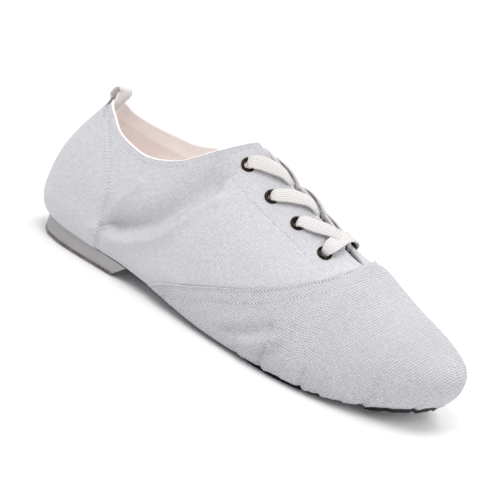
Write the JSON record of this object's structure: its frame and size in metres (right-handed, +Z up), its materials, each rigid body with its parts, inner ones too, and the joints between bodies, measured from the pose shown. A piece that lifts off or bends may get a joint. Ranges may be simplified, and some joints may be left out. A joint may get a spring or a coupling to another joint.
{
  "type": "jazz shoe",
  "caption": "Right canvas lace-up split-sole jazz shoe: hollow upper open at collar and throat, suede toe and ball patches, low heel, tongue, pull loop and flat lace.",
  "frame": {"origin": "on the floor, in the middle of the heel's resting face", "axes": "+X from heel to toe, +Z up, the outer (little toe) side faces -Y and the inner (big toe) side +Y"},
  "size_m": [0.2451, 0.0912, 0.0955],
  "materials": {
    "canvas": "white cotton canvas, matt weave",
    "tongue_canvas": "white cotton canvas, matt weave",
    "insole_cloth": "natural cotton cloth",
    "suede": "light grey split suede, napped",
    "heel_rubber": "light grey, smooth, satin",
    "pigskin": "dark grey pigskin suede with pores",
    "tape": "woven cotton tape",
    "lace": "flat woven lace, lengthwise ribs",
    "black_nickel": "dark bronze, polished"
  },
  "bodies": {
    "root": {"upper": "canvas", "tongue": "tongue_canvas", "insole": "insole_cloth", "toe_patch": "suede", "ball_patch": "suede", "heel_block": "heel_rubber", "heel_pad": "pigskin", "pull_loop": "tape", "eyelet_outer_1": "black_nickel", "eyelet_outer_2": "black_nickel", "eyelet_outer_3": "black_nickel", "eyelet_outer_4": "black_nickel", "eyelet_inner_1": "black_nickel", "eyelet_inner_2": "black_nickel", "eyelet_inner_3": "black_nickel", "eyelet_inner_4": "black_nickel", "lace_bar": "lace", "lace_cross_1": "lace", "lace_cross_2": "lace", "lace_cross_3": "lace"}
  },
  "joints": []
}
